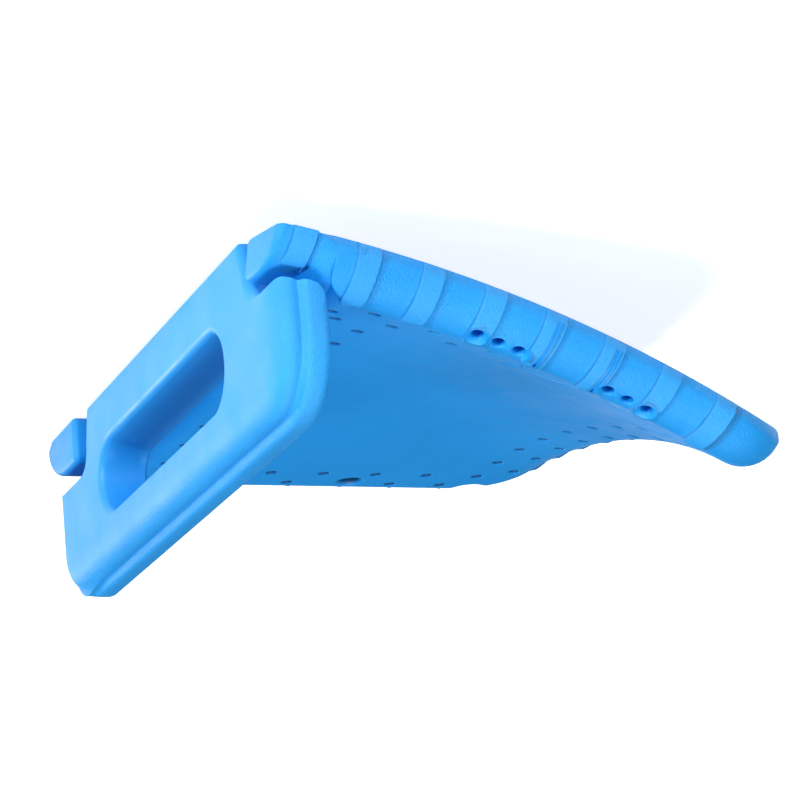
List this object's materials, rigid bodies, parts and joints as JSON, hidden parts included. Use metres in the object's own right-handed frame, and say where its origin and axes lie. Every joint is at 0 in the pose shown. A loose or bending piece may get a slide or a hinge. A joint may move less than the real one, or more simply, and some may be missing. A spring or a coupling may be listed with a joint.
{
  "type": "kids tablet case",
  "caption": "Soft foam case for a tablet, with a ribbed rim, one corner peeled up, and a thick carrying handle with a long hand slot, hinged between the case's side ears.",
  "frame": {"origin": "under the middle of the outline, on the plane of the flat front rim, which lies on the floor", "axes": "+X towards the side that carries the handle, +Y along the case's long side towards the camera-hole end, +Z out of the case's back"},
  "size_m": [0.2131, 0.2764, 0.0802],
  "materials": {
    "case_foam": "matt closed-cell EVA foam with a fine grain, bright blue",
    "handle_foam": "matt closed-cell EVA foam with a fine grain, bright blue",
    "pin_steel": "drawn steel rod",
    "sleeve_nylon": "white nylon"
  },
  "bodies": {
    "case": {"case_body": "case_foam", "hinge_pin_near": "pin_steel", "hinge_pin_far": "pin_steel"},
    "handle": {"handle": "handle_foam", "hinge_sleeve_near": "sleeve_nylon", "hinge_sleeve_far": "sleeve_nylon"}
  },
  "joints": [
    {"name": "handle_hinge", "type": "hinge", "parent": "case", "child": "handle", "pos_m": [0.09785, 0, 0.0116], "axis": [0, 1, 0], "range_deg": [-10, 90]}
  ]
}
